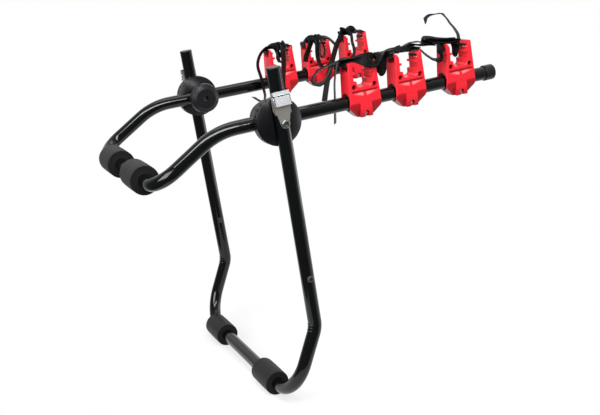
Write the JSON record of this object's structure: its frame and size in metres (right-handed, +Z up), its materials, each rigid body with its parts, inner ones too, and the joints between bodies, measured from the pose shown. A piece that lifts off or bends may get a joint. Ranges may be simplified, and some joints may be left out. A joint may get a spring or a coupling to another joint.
{
  "type": "car bike rack",
  "caption": "Folding bicycle carrier for the back of a car, with bent tube frames on clamped hubs, padded crossbars, and red cradles with webbing straps along its arms.",
  "frame": {"origin": "middle of the lower crossbar, on its axis", "axes": "+X to the right across the car, seen from behind it; +Y forward, towards the car; the arms reach out along -Y; +Z up"},
  "size_m": [0.5984, 0.8368, 0.8507],
  "materials": {
    "black_paint": "gloss black enamel",
    "pad_rubber": "dull black foam rubber",
    "cap_plastic": "satin black",
    "cap_rubber": "black rubber",
    "liner_rubber": "black rubber",
    "hub_plastic": "satin charcoal moulding",
    "knob_plastic": "satin charcoal moulding",
    "red_plastic": "bright red moulding",
    "webbing": "black woven webbing",
    "lever_chrome": "bright plated",
    "bracket_steel": "dull plated",
    "dark_steel": "blackened steel",
    "zinc": "zinc plated"
  },
  "bodies": {
    "stand": {"lower_frame": "black_paint", "leg_cap_left": "cap_plastic", "leg_cap_right": "cap_plastic", "lower_pad_left": "pad_rubber", "lower_pad_right": "pad_rubber", "outer_saddle_left": "hub_plastic", "outer_saddle_right": "hub_plastic", "hub_bolts": "zinc", "buckle_bracket_left": "bracket_steel", "buckle_bracket_right": "bracket_steel", "lever_pin_left": "zinc", "lever_pin_right": "zinc", "lever_spring_left": "zinc", "lever_spring_right": "zinc", "knob_washer_left": "zinc", "knob_washer_right": "zinc", "anchor_bolts": "dark_steel", "anchor_nuts": "dark_steel"},
    "arms": {"upper_frame": "black_paint", "arm_cap_left": "cap_rubber", "arm_cap_right": "cap_rubber", "upper_pad_left": "pad_rubber", "upper_pad_right": "pad_rubber", "inner_saddle_left": "hub_plastic", "inner_saddle_right": "hub_plastic", "cradle_left_1_screw_half": "red_plastic", "cradle_left_1_nut_half": "red_plastic", "cradle_left_2_screw_half": "red_plastic", "cradle_left_2_nut_half": "red_plastic", "cradle_left_3_screw_half": "red_plastic", "cradle_left_3_nut_half": "red_plastic", "cradle_right_1_screw_half": "red_plastic", "cradle_right_1_nut_half": "red_plastic", "cradle_right_2_screw_half": "red_plastic", "cradle_right_2_nut_half": "red_plastic", "cradle_right_3_screw_half": "red_plastic", "cradle_right_3_nut_half": "red_plastic", "cradle_liner_left_1": "liner_rubber", "cradle_liner_left_2": "liner_rubber", "cradle_liner_left_3": "liner_rubber", "cradle_liner_right_1": "liner_rubber", "cradle_liner_right_2": "liner_rubber", "cradle_liner_right_3": "liner_rubber", "strap_left_1": "webbing", "strap_left_2": "webbing", "strap_left_3": "webbing", "strap_right_1": "webbing", "strap_right_2": "webbing", "strap_right_3": "webbing", "cradle_screws": "dark_steel", "cradle_clamp_screws": "zinc", "cradle_nuts": "zinc"},
    "knob_left": {"knob_left": "knob_plastic", "knob_nut_left": "zinc"},
    "knob_right": {"knob_right": "knob_plastic", "knob_nut_right": "zinc"},
    "lever_left": {"cam_lever_left": "lever_chrome"},
    "lever_right": {"cam_lever_right": "lever_chrome"}
  },
  "joints": [
    {"name": "arm_fold", "type": "hinge", "parent": "stand", "child": "arms", "pos_m": [0, 0.02661, 0.61376], "axis": [1, 0, 0], "range_deg": [-45, 88]},
    {"name": "knob_turn_left", "type": "hinge", "parent": "stand", "child": "knob_left", "pos_m": [-0.1958, 0.02661, 0.61376], "axis": [-1, 0, 0], "continuous": true},
    {"name": "knob_turn_right", "type": "hinge", "parent": "stand", "child": "knob_right", "pos_m": [0.1958, 0.02661, 0.61376], "axis": [1, 0, 0], "continuous": true},
    {"name": "lever_press_left", "type": "hinge", "parent": "stand", "child": "lever_left", "pos_m": [-0.2919, 0.03538, 0.66502], "axis": [0, -0.9857, 0.1685], "range_deg": [0, 16], "stiffness_Nm_per_rad": 0.4, "springref_deg": -14.32},
    {"name": "lever_press_right", "type": "hinge", "parent": "stand", "child": "lever_right", "pos_m": [0.2919, 0.03538, 0.66502], "axis": [0, 0.9857, -0.1685], "range_deg": [0, 16], "stiffness_Nm_per_rad": 0.4, "springref_deg": -14.32}
  ]
}
